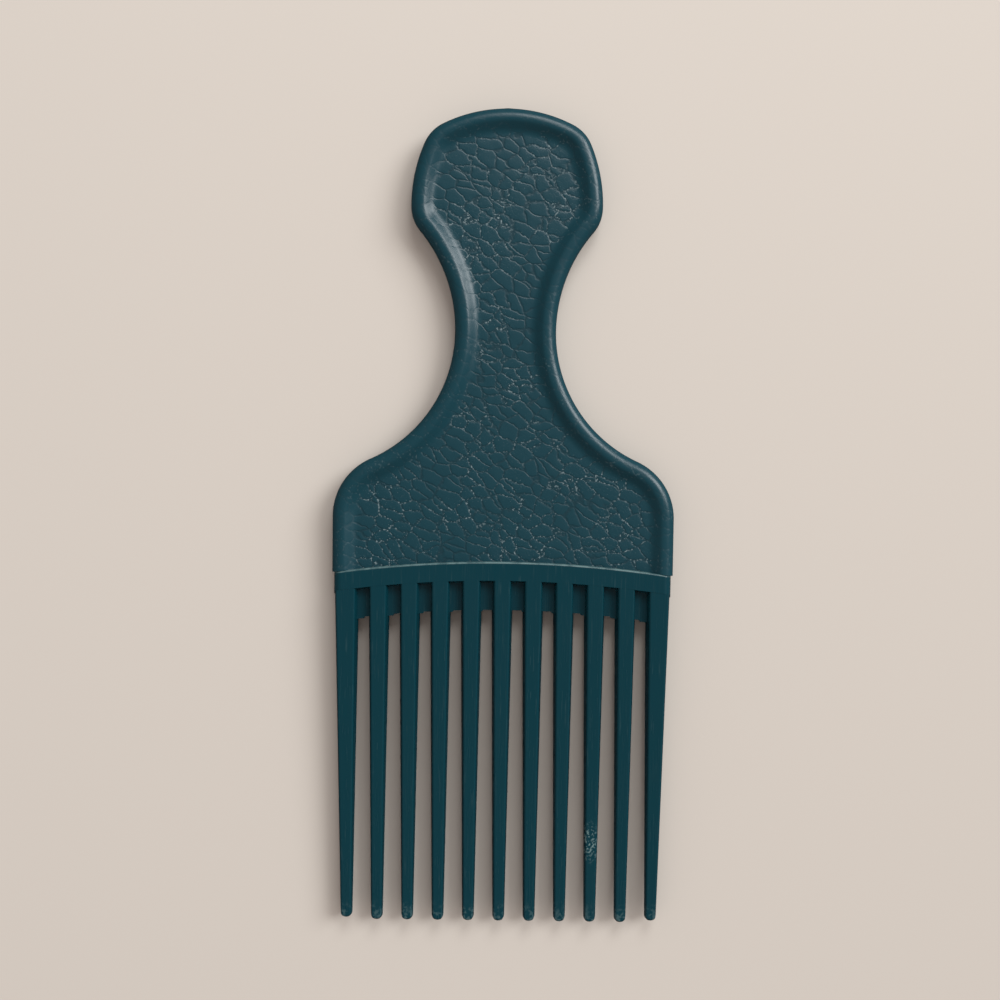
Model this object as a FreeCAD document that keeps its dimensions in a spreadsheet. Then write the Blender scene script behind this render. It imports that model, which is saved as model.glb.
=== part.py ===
"""Afro pick: a moulded comb with a dished handle, an arched spine and eleven drafted teeth.

The pick stands upright on its tips, as it is pushed into the hair: X is its width, Y its
thickness with the front towards -Y, and Z its length. Front and back mirror each other in
the plane Y = 0, where the two halves of the mould meet.
"""

import FreeCAD, Part
import math
import operator
import os
from types import SimpleNamespace

import Sketcher
from FreeCAD import Vector

# Driving dimensions: millimetres, or degrees where the name says so
DIMENSIONS = (
    ("overall_length", 165.0, "tips of the teeth to the crown of the head"),
    ("handle_length", 90.5, "middle of the band line to the crown of the head"),
    ("body_width", 69.1, "across the straight sides of the handle"),
    ("head_width", 38.4, "across the widest part of the head"),
    ("neck_width", 20.3, "across the waist"),
    ("neck_rise", 46.5, "waist above the middle of the band line"),
    ("crown_radius", 29.2, "top of the head"),
    ("head_corner_radius", 7.6, "corner between crown and side of the head"),
    ("head_side_radius", 31.0, "side of the head"),
    ("jaw_radius", 7.6, "turn from the head into the neck"),
    ("upper_neck_radius", 30.9, "hollow above the waist"),
    ("lower_neck_radius", 28.5, "hollow below the waist"),
    ("shoulder_radius", 12.7, "turn from the neck into the side"),
    ("thickness", 5.6, "rim, spine and roots of the teeth"),
    ("rim_width", 2.3, "bead round the handle"),
    ("rim_roll_radius", 2.0, "rounding of the bead's outer edges"),
    ("crest_land", 0.3, "flat between the bead and the dish"),
    ("dish_slope_width", 2.7, "slope from the crest down to the floor of the dish"),
    ("dish_depth", 1.3, "floor of the dish below the crest"),
    ("dish_cove_radius", 2.4, "hollow where the slope meets the floor"),
    ("band_arc_radius", 240.0, "arch of the band line"),
    ("band_height", 3.75, "spine from the band line down to the slots"),
    ("band_edge_radius", 0.35, "upper edges of the spine"),
    ("comb_inset", 0.25, "ends of the spine and the end teeth inside the handle's sides"),
    ("end_roll_radius", 1.6, "rounding of the spine's end edges"),
    ("slot_roof_run", 0.8, "fall of a slot's roof from the face to mid thickness"),
    ("web_height", 6.2, "slots down to the windows between the teeth"),
    ("web_thickness", 1.8, "webs, at mid thickness"),
    ("window_corner_radius", 0.3, "upper corners of a window"),
    ("end_tooth_reach", 2.95, "end tooth's outer flank from its middle line, at the band line"),
    ("tooth_root_width", 4.45, "tooth carried up to the band line, at mid thickness"),
    ("tooth_tip_width", 2.45, "round end of a tooth"),
    ("tooth_tip_thickness", 2.4, "tooth at its tip"),
    ("tooth_edge_radius", 0.4, "long edges of a tooth"),
    ("tip_crown_radius", 1.6, "rounding of a tip from front to back"),
    ("tip_crown_trim", 0.05, "taken off the very end of a tip by its rounding"),
    ("tooth_draft_degrees", 11.0, "slope of a tooth's flanks from mid thickness"),
    ("end_tooth_setback", 0.4, "end teeth shorter than the rest"),
    ("cut_overrun", 4.0, "how far a cut passes what it cuts"),
)
TOOTH_COUNT = 11
FULL_TURN = 360
# The arched blanks turn this much further than the comb is wide
ARCH_SHARE = 1.3
# An edge that runs across the pick by more than this share of its direction is level
ACROSS_SHARE = 0.9

# The handle's arcs on one side, from the crown down, and those that are hollow
SIDE_ARCS = ("head_corner", "head_side", "jaw", "upper_neck", "lower_neck", "shoulder")
HOLLOW_ARCS = ("upper_neck", "lower_neck")

# The sketcher's numbers for points of an edge, for the origin and for the two axes
START, END, CENTRE = 1, 2, 3
ORIGIN = (-1, 1)
LEVEL_AXIS, UPRIGHT_AXIS = -1, -2

OPERATIONS = {"+": operator.add, "-": operator.sub, "*": operator.mul, "/": operator.truediv}

doc = FreeCAD.newDocument("AfroPick")


class Measure:
    """A size worked out from the sheet: its value, and the formula that ties it to the sheet."""

    def __init__(self, value, formula):
        self.value = value
        self.formula = formula

    def __add__(self, other):
        return combine(self, "+", other)

    def __sub__(self, other):
        return combine(self, "-", other)

    def __mul__(self, other):
        return combine(self, "*", other)

    def __truediv__(self, other):
        return combine(self, "/", other)


def combine(left, sign, right):
    """The sum, difference, product or quotient of a measure and a measure or number."""
    if not isinstance(right, Measure):
        right = Measure(right, str(right))
    value = OPERATIONS[sign](left.value, right.value)
    return Measure(value, f"({left.formula} {sign} {right.formula})")


def make_sheet():
    """Writes the driving dimensions into the sheet and returns them as measures."""
    sheet = doc.addObject("Spreadsheet::Sheet", "Sizes")
    for row, (alias, value, note) in enumerate(DIMENSIONS, start=1):
        sheet.set(f"A{row}", alias)
        sheet.set(f"B{row}", str(value))
        sheet.setAlias(f"B{row}", alias)
        sheet.set(f"C{row}", note)
    doc.recompute()
    measures = {alias: Measure(value, f"Sizes.{alias}") for alias, value, _ in DIMENSIONS}
    return SimpleNamespace(**measures)


size = make_sheet()
NONE = Measure(0, "0")

# Sizes that several pieces share
band_line = size.overall_length - size.handle_length
waist = band_line + size.neck_rise
band_centre = band_line - size.band_arc_radius
slot_top = band_line - size.band_height
window_top = slot_top - size.web_height
half_thickness = size.thickness / 2
crest_inset = size.rim_width + size.crest_land
floor_inset = crest_inset + size.dish_slope_width
tip_radius = size.tooth_tip_width / 2
comb_width = size.body_width - size.comb_inset * 2
tooth_pitch = (comb_width - size.end_tooth_reach * 2) / (TOOTH_COUNT - 1)


def bind(sketch, kind, elements, measure):
    """Adds a dimension to a sketch and ties it to the sheet."""
    index = sketch.addConstraint(Sketcher.Constraint(kind, *elements, measure.value))
    sketch.setExpression(f"Constraints[{index}]", measure.formula)


def fix(sketch, kind, *elements):
    """Adds a geometric constraint, such as tangency, to a sketch."""
    sketch.addConstraint(Sketcher.Constraint(kind, *elements))


def place(sketch, edge, point, x=None, y=None):
    """Sets how far a point of an edge lies from the origin, along either axis or both."""
    for kind, measure, axis in (("DistanceX", x, UPRIGHT_AXIS), ("DistanceY", y, LEVEL_AXIS)):
        if measure is None:
            continue
        if measure.value == 0:
            fix(sketch, "PointOnObject", edge, point, axis)
        elif measure.value > 0:
            bind(sketch, kind, (*ORIGIN, edge, point), measure)
        else:
            bind(sketch, kind, (edge, point, *ORIGIN), measure * -1)


def spot(x, y):
    """The sketch point at two measures."""
    return Vector(x.value, y.value, 0)


def add_line(sketch, first, last):
    """A straight edge, with the names of its two ends."""
    return sketch.addGeometry(Part.LineSegment(first, last)), START, END


def add_arc(sketch, centre, first, last):
    """An arc from first to last, the short way round, with the names of its two ends."""
    ends = (START, END)
    if (first - centre).cross(last - centre).z < 0:
        first, last = last, first
        ends = (END, START)
    begin, finish = (math.atan2((point - centre).y, (point - centre).x) for point in (first, last))
    if finish < begin:
        finish += 2 * math.pi
    circle = Part.Circle(centre, Vector(0, 0, 1), (first - centre).Length)
    return sketch.addGeometry(Part.ArcOfCircle(circle, begin, finish)), *ends


def join(sketch, kind, here, there):
    """Joins the end of one edge to the start of the next, coincident or tangent."""
    fix(sketch, kind, here[0], here[2], there[0], there[1])


def polygon(sketch, corners):
    """A closed outline of straight edges, each corner placed by its two measures."""
    points = [spot(x, y) for x, y in corners]
    lines = [add_line(sketch, here, there) for here, there in zip(points, points[1:] + points[:1])]
    for line, following, (x, y) in zip(lines, lines[1:] + lines[:1], corners):
        join(sketch, "Coincident", line, following)
        place(sketch, line[0], START, x, y)


def touch_point(centre, radius, outside, turn):
    """Where a straight edge from outside touches a circle, on the given side (1 or -1) of its centre."""
    reach = outside - centre
    swing = math.atan2(reach.y, reach.x) + turn * math.acos(radius / reach.Length)
    return centre + Vector(math.cos(swing), math.sin(swing), 0) * radius


def new_body(label):
    """An empty body under its node's name."""
    body = doc.addObject("PartDesign::Body", label)
    body.Label = label
    return body


def of_origin(body, role):
    """One of a body's own origin planes or axes."""
    return next(item for item in body.Origin.OriginFeatures if item.Role == role)


def new_sketch(body, name, role="XZ_Plane", offset=None):
    """A sketch on one of a body's planes, or parallel to it at a distance."""
    sketch = body.newObject("Sketcher::SketchObject", name)
    sketch.AttachmentSupport = (of_origin(body, role), "")
    sketch.MapMode = "FlatFace"
    if offset:
        sketch.setExpression("AttachmentOffset.Base.z", offset.formula)
    return sketch


def add_feature(body, kind, name, **settings):
    """A feature of a body, with the settings that are measures tied to the sheet."""
    item = body.newObject("PartDesign::" + kind, name)
    for key, value in settings.items():
        if isinstance(value, Measure):
            item.setExpression(key, value.formula)
        else:
            setattr(item, key, value)
    body.Tip = item
    doc.recompute()
    return item


def mirror_to_back(body, item):
    """Repeats a feature of the front face on the back."""
    middle = (of_origin(body, "XZ_Plane"), "")
    return add_feature(body, "Mirrored", item.Name + "_back", Originals=[item], MirrorPlane=middle)


def round_edges(body, name, base, radius, test):
    """Rounds those edges of a feature whose middle points pass a test."""
    names = []
    for number, edge in enumerate(base.Shape.Edges, start=1):
        middle = edge.valueAt((edge.FirstParameter + edge.LastParameter) / 2)
        if test(middle, edge):
            names.append(f"Edge{number}")
    return add_feature(body, "Fillet", name, Base=(base, names), Radius=radius)


def same(first, second):
    """Whether two lengths agree, to a small share of the thickness."""
    tolerance_share = 1e-4
    return abs(first - second) < tolerance_share * size.thickness.value


def arc_height(x):
    """Height of the band line at x."""
    return band_centre.value + math.sqrt(size.band_arc_radius.value**2 - x**2)


def towards(start, target, distance):
    """The point at a distance from start in the direction of target."""
    return start + (target - start).normalize() * distance


def side_centres():
    """Centres of the arcs down the right side of the handle, by name, each tangent to the next."""
    crown = Vector(0, (size.overall_length - size.crown_radius).value, 0)
    upper = spot(size.neck_width / 2 + size.upper_neck_radius, waist)
    lower = spot(size.neck_width / 2 + size.lower_neck_radius, waist)
    jaw_x = (size.head_width / 2 - size.jaw_radius).value
    jaw_reach = (size.upper_neck_radius + size.jaw_radius).value
    jaw = Vector(jaw_x, waist.value + math.sqrt(jaw_reach**2 - (upper.x - jaw_x) ** 2), 0)
    side = Vector((size.head_width / 2 - size.head_side_radius).value, jaw.y, 0)
    shoulder_x = (size.body_width / 2 - size.shoulder_radius).value
    shoulder_reach = (size.lower_neck_radius + size.shoulder_radius).value
    shoulder_drop = math.sqrt(shoulder_reach**2 - (lower.x - shoulder_x) ** 2)
    shoulder = Vector(shoulder_x, waist.value - shoulder_drop, 0)
    # the corner's circle lies inside both the crown's and the side's
    from_crown = (size.crown_radius - size.head_corner_radius).value
    from_side = (size.head_side_radius - size.head_corner_radius).value
    span = side - crown
    along = (from_crown**2 - from_side**2 + span.Length**2) / (2 * span.Length)
    across = Vector(span.y, -span.x, 0).normalize() * math.sqrt(from_crown**2 - along**2)
    corner = towards(crown, side, along) + across
    centres = (corner, side, jaw, upper, lower, shoulder)
    return {"crown": crown, **dict(zip(SIDE_ARCS, centres))}


def meeting_points(centres, inset):
    """Where the right side's arcs meet, from the crown down to the straight edge, after an inset."""
    return [
        towards(centres["crown"], centres["head_corner"], (size.crown_radius - inset).value),
        towards(centres["head_side"], centres["head_corner"], (size.head_side_radius - inset).value),
        Vector((size.head_width / 2 - inset).value, centres["jaw"].y, 0),
        towards(centres["jaw"], centres["upper_neck"], (size.jaw_radius - inset).value),
        Vector((size.neck_width / 2 - inset).value, waist.value, 0),
        towards(centres["shoulder"], centres["lower_neck"], (size.shoulder_radius - inset).value),
        Vector((size.body_width / 2 - inset).value, centres["shoulder"].y, 0),
    ]


def handle_side(sketch, crown, centres, points, inset, side):
    """One side of the handle's outline, from the crown to the shoulder. Returns its last edge."""

    def turned(point):
        return Vector(point.x * side, point.y, 0)

    edges = {
        name: add_arc(sketch, turned(centres[name]), turned(here), turned(there))
        for name, here, there in zip(SIDE_ARCS, points, points[1:])
    }
    straight = add_line(sketch, turned(points[-2]), turned(points[-1]))
    for name, (arc, _, _) in edges.items():
        outer_radius = getattr(size, name + "_radius")
        radius = outer_radius + inset if name in HOLLOW_ARCS else outer_radius - inset
        bind(sketch, "Radius", (arc,), radius)
    chain = [crown, *edges.values(), straight]
    for here, there in zip(chain, chain[1:]):
        join(sketch, "Tangent", here, there)
    jaw, upper = edges["jaw"], edges["upper_neck"]
    place(sketch, jaw[0], CENTRE, x=(size.head_width / 2 - size.jaw_radius) * side)
    fix(sketch, "Horizontal", jaw[0], jaw[1], jaw[0], CENTRE)
    place(sketch, upper[0], CENTRE, (size.neck_width / 2 + size.upper_neck_radius) * side, waist)
    fix(sketch, "Horizontal", upper[0], upper[2], upper[0], CENTRE)
    fix(sketch, "Vertical", straight[0])
    place(sketch, straight[0], START, x=(size.body_width / 2 - inset) * side)
    return straight


def handle_outline(sketch, inset=NONE, foot_drop=NONE, closed=True):
    """The handle's outline in tangent arcs, inset all round but for its foot.

    A closed outline's foot is the band line's arc, lowered by the drop. An open outline
    ends level with the middle of that arc.
    """
    centres = side_centres()
    points = meeting_points(centres, inset)
    edge_x = points[-1].x
    foot_height = arc_height(edge_x) if closed else band_line.value
    foot = Vector(edge_x, foot_height - foot_drop.value, 0)
    far_foot = Vector(-edge_x, foot.y, 0)
    crown = add_arc(sketch, centres["crown"], Vector(-points[0].x, points[0].y, 0), points[0])
    bind(sketch, "Radius", (crown[0],), size.crown_radius - inset)
    place(sketch, crown[0], CENTRE, NONE, size.overall_length - size.crown_radius)
    backwards = (crown[0], crown[2], crown[1])
    right = handle_side(sketch, crown, centres, points + [foot], inset, 1)
    left = handle_side(sketch, backwards, centres, points + [foot], inset, -1)
    if closed:
        base = add_arc(sketch, spot(NONE, band_centre - foot_drop), foot, far_foot)
        bind(sketch, "Radius", (base[0],), size.band_arc_radius)
        place(sketch, base[0], CENTRE, NONE, band_centre - foot_drop)
        join(sketch, "Coincident", right, base)
        fix(sketch, "Coincident", left[0], left[2], base[0], base[2])
    else:
        place(sketch, right[0], END, y=band_line - foot_drop)
        place(sketch, left[0], END, y=band_line - foot_drop)
    return sketch


def dish_slope_section(sketch):
    """Section cut from the plate along the dish's edge: a slope that ends in a cove."""
    crest_x = size.body_width / 2 - size.rim_width - size.crest_land
    floor_x = crest_x - size.dish_slope_width
    face_y = half_thickness * -1
    floor_y = face_y + size.dish_depth
    clear_y = face_y - size.cut_overrun
    crest, floor = spot(crest_x, face_y), spot(floor_x, floor_y)
    centre = floor - Vector(0, size.dish_cove_radius.value, 0)
    touch = touch_point(centre, size.dish_cove_radius.value, crest, 1)
    slope = add_line(sketch, crest, touch)
    cove = add_arc(sketch, centre, touch, floor)
    rise = add_line(sketch, floor, spot(floor_x, clear_y))
    level = add_line(sketch, spot(floor_x, clear_y), spot(crest_x, clear_y))
    wall = add_line(sketch, spot(crest_x, clear_y), crest)
    join(sketch, "Tangent", slope, cove)
    for here, there in ((cove, rise), (rise, level), (level, wall), (wall, slope)):
        join(sketch, "Coincident", here, there)
    fix(sketch, "Vertical", cove[0], CENTRE, rise[0], START)
    bind(sketch, "Radius", (cove[0],), size.dish_cove_radius)
    place(sketch, slope[0], START, crest_x, face_y)
    place(sketch, rise[0], START, floor_x, floor_y)
    place(sketch, level[0], START, floor_x, clear_y)
    place(sketch, wall[0], START, crest_x, clear_y)
    return sketch


def make_handle_plate():
    """The panel at the floor of the dish, as thick as the dishes on both faces leave it."""
    body = new_body("handle_plate")
    outline = handle_outline(new_sketch(body, "plate_outline"), floor_inset)
    depth = size.thickness - size.dish_depth * 2
    add_feature(body, "Pad", "plate_blank", Profile=outline, SideType="Symmetric", Length=depth)
    return body


def make_handle_rim():
    """The bead round the handle with the dish's coved, sloping sides, open at the band line."""
    body = new_body("handle_rim")
    outline = handle_outline(new_sketch(body, "rim_outline"))
    blank = add_feature(
        body, "Pad", "rim_blank", Profile=outline, SideType="Symmetric", Length=size.thickness
    )

    def outer(middle, edge):
        on_face = same(abs(middle.y), half_thickness.value)
        return on_face and not same(middle.z, arc_height(middle.x))

    round_edges(body, "rim_roll", blank, size.rim_roll_radius, outer)
    inside = handle_outline(new_sketch(body, "rim_inside"), floor_inset, size.cut_overrun)
    through = size.thickness + size.cut_overrun
    add_feature(body, "Pocket", "rim_opening", Profile=inside, SideType="Symmetric", Length=through)
    edge = handle_outline(new_sketch(body, "dish_edge"), crest_inset, size.cut_overrun, closed=False)
    section = new_sketch(body, "dish_slope", "XY_Plane", band_line - size.cut_overrun)
    dish_slope_section(section)
    slope = add_feature(body, "SubtractivePipe", "dish_side", Profile=section, Spine=(edge, []))
    mirror_to_back(body, slope)
    return body


def arch_body(label, half_width, eave, top):
    """A body turned about the band's centre: a low roof underneath, square above, in radial section.

    The roof falls from its eaves to a ridge at mid thickness, which gives each slot its draft.
    """
    body = new_body(label)
    body.setExpression("Placement.Base.z", band_centre.formula)
    section = new_sketch(body, label + "_section", "YZ_Plane")
    ridge = size.band_arc_radius - size.band_height - size.slot_roof_run
    far = half_width * -1
    polygon(section, [(NONE, ridge), (half_width, eave), (half_width, top), (far, top), (far, eave)])
    half_chord = comb_width / 2
    turn = Measure(
        math.degrees(math.asin(half_chord.value / ridge.value)),
        f"asin({(half_chord / ridge).formula})",
    )
    arch = add_feature(
        body,
        "Revolution",
        label + "_arch",
        Profile=section,
        ReferenceAxis=(of_origin(body, "Y_Axis"), [""]),
        Midplane=True,
        Angle=turn * 2 * ARCH_SHARE,
    )
    return body, arch


def make_comb_spine():
    """The smooth band that carries the teeth, with drafted, rolled ends and eased upper edges."""
    eave = size.band_arc_radius - size.band_height
    body, _ = arch_body("comb_spine", half_thickness, eave, size.band_arc_radius)
    ends = new_sketch(body, "spine_ends", "XY_Plane")
    draft = size.tooth_draft_degrees
    lean = Measure(math.tan(math.radians(draft.value)), f"tan({draft.formula})")
    clear_y = half_thickness + size.cut_overrun
    far_y = clear_y * -1
    for side in (1, -1):
        ridge_x = (comb_width / 2) * side
        lean_x = (comb_width / 2 - clear_y * lean) * side
        outer_x = (comb_width / 2 * ARCH_SHARE + size.cut_overrun) * side
        near = [(ridge_x, NONE), (lean_x, clear_y), (outer_x, clear_y)]
        polygon(ends, [*near, (outer_x, far_y), (lean_x, far_y)])
    trimmed = add_feature(
        body, "Pocket", "spine_trim", Profile=ends, SideType="Symmetric", Type="ThroughAll"
    )

    def end_edge(middle, edge):
        on_face = same(abs(middle.y), half_thickness.value)
        lean_in = half_thickness.value * lean.value
        return on_face and same(abs(middle.x), comb_width.value / 2 - lean_in)

    def upper_edge(middle, edge):
        on_face = same(abs(middle.y), half_thickness.value)
        return on_face and same(math.hypot(middle.x, middle.z), size.band_arc_radius.value)

    rolled = round_edges(body, "spine_end_roll", trimmed, size.end_roll_radius, end_edge)
    round_edges(body, "spine_eased", rolled, size.band_edge_radius, upper_edge)
    return body


def tooth_outline(sketch, left_half, right_half, setback):
    """A tooth at mid thickness: two straight flanks, from either side of its middle, and a round tip."""
    tip_height = tip_radius + setback - size.tip_crown_trim
    tip = spot(NONE, tip_height)
    left_root = spot(left_half * -1, band_line)
    right_root = spot(right_half, band_line)
    left_touch = touch_point(tip, tip_radius.value, left_root, 1)
    right_touch = touch_point(tip, tip_radius.value, right_root, -1)
    left = add_line(sketch, left_root, left_touch)
    begin = math.atan2(left_touch.y - tip.y, left_touch.x - tip.x)
    finish = math.atan2(right_touch.y - tip.y, right_touch.x - tip.x) + 2 * math.pi
    circle = Part.Circle(tip, Vector(0, 0, 1), tip_radius.value)
    round_end = (sketch.addGeometry(Part.ArcOfCircle(circle, begin, finish)), START, END)
    right = add_line(sketch, right_touch, right_root)
    top = add_line(sketch, right_root, left_root)
    join(sketch, "Tangent", left, round_end)
    join(sketch, "Tangent", round_end, right)
    join(sketch, "Coincident", right, top)
    join(sketch, "Coincident", top, left)
    bind(sketch, "Radius", (round_end[0],), tip_radius)
    place(sketch, round_end[0], CENTRE, NONE, tip_height)
    place(sketch, top[0], START, right_half, band_line)
    place(sketch, top[0], END, left_half * -1, band_line)
    return sketch


def thinning_section(sketch):
    """Side view of the wedges that come off a tooth's two faces, from the slots down to the thin tip."""
    thin = size.tooth_tip_thickness / 2
    below = size.cut_overrun * -1
    for side in (1, -1):
        face_x, thin_x = half_thickness * side, thin * side
        clear_x = (half_thickness + size.cut_overrun) * side
        wedge = [(face_x, slot_top), (thin_x, NONE), (thin_x, below)]
        polygon(sketch, [*wedge, (clear_x, below), (clear_x, slot_top)])
    return sketch


def tip_crown_section(sketch, setback):
    """Half section of what is turned off round a tip: all that lies below a ball on the tooth's middle."""
    low = setback - size.cut_overrun
    level = setback + size.tip_crown_radius
    clear_x = size.tip_crown_radius + size.cut_overrun
    end, rim = spot(NONE, setback), spot(size.tip_crown_radius, level)
    ball = add_arc(sketch, spot(NONE, level), end, rim)
    ledge = add_line(sketch, rim, spot(clear_x, level))
    outside = add_line(sketch, spot(clear_x, level), spot(clear_x, low))
    floor = add_line(sketch, spot(clear_x, low), spot(NONE, low))
    middle = add_line(sketch, spot(NONE, low), end)
    chain = (ball, ledge, outside, floor, middle)
    for here, there in zip(chain, chain[1:] + chain[:1]):
        join(sketch, "Coincident", here, there)
    bind(sketch, "Radius", (ball[0],), size.tip_crown_radius)
    place(sketch, ball[0], CENTRE, NONE, level)
    place(sketch, middle[0], END, x=NONE)
    place(sketch, ledge[0], START, y=level)
    place(sketch, outside[0], START, clear_x, level)
    place(sketch, floor[0], START, clear_x, low)
    place(sketch, middle[0], START, NONE, low)
    return sketch


def make_tooth(number, roof):
    """One tooth, drafted both ways from mid thickness, thinned to its tip and cut under the spine's roof."""
    label = f"tooth_{number:02d}"
    middle_number = (TOOTH_COUNT + 1) // 2
    step = number - middle_number
    half = size.tooth_root_width / 2
    left_half = size.end_tooth_reach if number == 1 else half
    right_half = size.end_tooth_reach if number == TOOTH_COUNT else half
    setback = size.end_tooth_setback if number in (1, TOOTH_COUNT) else NONE
    body = new_body(label + "_blank")
    body.setExpression("Placement.Base.x", (tooth_pitch * step).formula)
    outline = tooth_outline(new_sketch(body, label + "_outline"), left_half, right_half, setback)
    slope = size.tooth_draft_degrees * -1
    add_feature(
        body,
        "Pad",
        label + "_pad",
        Profile=outline,
        SideType="Symmetric",
        Length=size.thickness,
        TaperAngle=slope,
        TaperAngle2=slope,
    )
    faces = thinning_section(new_sketch(body, label + "_side", "YZ_Plane"))
    thinned = add_feature(
        body, "Pocket", label + "_thinned", Profile=faces, SideType="Symmetric", Type="ThroughAll"
    )

    def on_a_face(middle, edge):
        level = abs(edge.tangentAt((edge.FirstParameter + edge.LastParameter) / 2).x) > ACROSS_SHARE
        at_root = middle.z > slot_top.value - size.tooth_edge_radius.value
        away = abs(middle.y) > size.tooth_tip_thickness.value / 2 - size.tooth_edge_radius.value
        return away and not (level and at_root)

    round_edges(body, label + "_eased", thinned, size.tooth_edge_radius, on_a_face)
    crown = tip_crown_section(new_sketch(body, label + "_crown"), setback)
    axis = (of_origin(body, "Z_Axis"), [""])
    add_feature(body, "Groove", label + "_rounded", Profile=crown, ReferenceAxis=axis, Angle=FULL_TURN)
    tooth = doc.addObject("Part::Cut", label)
    tooth.Label = label
    tooth.Base = body
    tooth.Tool = roof
    return tooth


def web_outline(sketch, half_gap, window_radius):
    """A web's blank, as wide as the pitch, with rounded corners at the top of its window."""
    half_pitch = tooth_pitch / 2
    top_z = size.band_arc_radius
    corner_z = window_radius - size.window_corner_radius
    flat_half = half_gap - size.window_corner_radius
    soffit = add_line(sketch, spot(flat_half * -1, window_radius), spot(flat_half, window_radius))
    top = add_line(sketch, spot(half_pitch, top_z), spot(half_pitch * -1, top_z))
    place(sketch, soffit[0], START, flat_half * -1, window_radius)
    place(sketch, soffit[0], END, flat_half, window_radius)
    place(sketch, top[0], START, half_pitch, top_z)
    place(sketch, top[0], END, half_pitch * -1, top_z)
    for side, soffit_end, top_end in ((1, END, START), (-1, START, END)):
        flat_x, gap_x, outer_x = flat_half * side, half_gap * side, half_pitch * side
        springing = spot(gap_x, corner_z)
        corner = add_arc(sketch, spot(flat_x, corner_z), spot(flat_x, window_radius), springing)
        ledge = add_line(sketch, springing, spot(outer_x, corner_z))
        outside = add_line(sketch, spot(outer_x, corner_z), spot(outer_x, top_z))
        fix(sketch, "Coincident", soffit[0], soffit_end, corner[0], corner[1])
        fix(sketch, "Vertical", corner[0], CENTRE, soffit[0], soffit_end)
        join(sketch, "Coincident", corner, ledge)
        join(sketch, "Coincident", ledge, outside)
        fix(sketch, "Coincident", outside[0], END, top[0], top_end)
        place(sketch, ledge[0], START, gap_x, corner_z)
        place(sketch, outside[0], START, outer_x, corner_z)
    return sketch


def make_web(number, mould):
    """The thin web over one window, from tooth to tooth, with rounded corners at the window."""
    label = f"slot_web_{number:02d}"
    step = number - TOOTH_COUNT / 2
    body = new_body(label + "_blank")
    sine = tooth_pitch * step / size.band_arc_radius
    body.setExpression(
        "Placement",
        f"placement(vector(0; 0; {band_centre.formula}); vector(0; 1; 0); asin({sine.formula}))",
    )
    window_radius = size.band_arc_radius - size.band_height - size.web_height
    taper = (size.tooth_root_width - size.tooth_tip_width) / (band_line - tip_radius)
    tooth_width = size.tooth_tip_width + taper * (window_top - tip_radius)
    half_gap = (tooth_pitch - tooth_width) / 2
    outline = web_outline(new_sketch(body, label + "_outline"), half_gap, window_radius)
    add_feature(
        body, "Pad", label + "_pad", Profile=outline, SideType="Symmetric", Length=size.web_thickness
    )
    web = doc.addObject("Part::Cut", label)
    web.Label = label
    web.Base = body
    web.Tool = mould
    return web


def main():
    """Builds every piece, tests it and writes it to its own file."""
    pieces = [make_handle_plate(), make_handle_rim(), make_comb_spine()]
    eave = size.band_arc_radius - size.band_height + size.slot_roof_run
    roof, _ = arch_body("slot_roof", size.thickness, eave, size.band_arc_radius + size.cut_overrun)
    teeth = [make_tooth(number, roof) for number in range(1, TOOTH_COUNT + 1)]
    doc.recompute()
    mould = doc.addObject("Part::MultiFuse", "gap_mould")
    mould.Shapes = [roof, *teeth]
    doc.recompute()
    webs = [make_web(number, mould) for number in range(1, TOOTH_COUNT)]
    doc.recompute()
    for item in doc.Objects:
        if "Invalid" in item.State or "Error" in item.State:
            raise RuntimeError(f"{item.Label} failed: {item.State}")
    os.makedirs("parts", exist_ok=True)
    # the pick is drawn upright and lies on its back, the middle of its length over the origin
    lying = FreeCAD.Placement(
        Vector(0, -size.overall_length.value / 2, half_thickness.value),
        FreeCAD.Rotation(Vector(1, 0, 0), -FULL_TURN / 4),
    )
    for piece in [*pieces, *teeth, *webs]:
        if piece.Shape.isNull() or not piece.Shape.isValid():
            raise RuntimeError(f"{piece.Label} has no valid shape")
        shape = piece.Shape.copy()
        shape.Placement = lying.multiply(shape.Placement)
        shape.exportStep(f"parts/{piece.Label}.step")
        print(piece.Label, f"{shape.Volume:.2f} mm3, solids {len(shape.Solids)},", shape.BoundBox)


main()
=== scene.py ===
"""Afro pick: one moulding of dark teal plastic, leather-grained on the handle and glossy on the comb."""

import logging
import math
from dataclasses import dataclass, field
from enum import Enum
from typing import Any, Iterable, Optional, Sequence, Union

import bmesh
import bpy
import numpy as np
from mathutils import Matrix, Vector
from mathutils.geometry import delaunay_2d_cdt


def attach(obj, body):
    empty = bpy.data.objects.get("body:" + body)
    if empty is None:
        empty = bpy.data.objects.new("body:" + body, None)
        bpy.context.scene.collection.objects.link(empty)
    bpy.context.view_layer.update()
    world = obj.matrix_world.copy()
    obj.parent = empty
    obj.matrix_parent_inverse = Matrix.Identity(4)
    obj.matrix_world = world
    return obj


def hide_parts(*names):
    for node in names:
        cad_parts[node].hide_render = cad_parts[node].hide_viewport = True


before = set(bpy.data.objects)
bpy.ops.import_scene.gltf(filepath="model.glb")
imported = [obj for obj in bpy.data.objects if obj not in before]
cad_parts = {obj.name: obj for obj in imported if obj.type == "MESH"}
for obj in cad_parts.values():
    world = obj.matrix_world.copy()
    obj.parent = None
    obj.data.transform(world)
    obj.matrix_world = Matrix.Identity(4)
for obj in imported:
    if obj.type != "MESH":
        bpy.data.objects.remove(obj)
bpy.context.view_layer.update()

BODY = "root"
MM = 0.001
PER_MM = 1000.0
TURN = 2 * math.pi
LENGTH = 165.0
HALF_THICKNESS = 2.8
BAND_LINE = 74.5
BAND_ARC_RADIUS = 240.0
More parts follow.
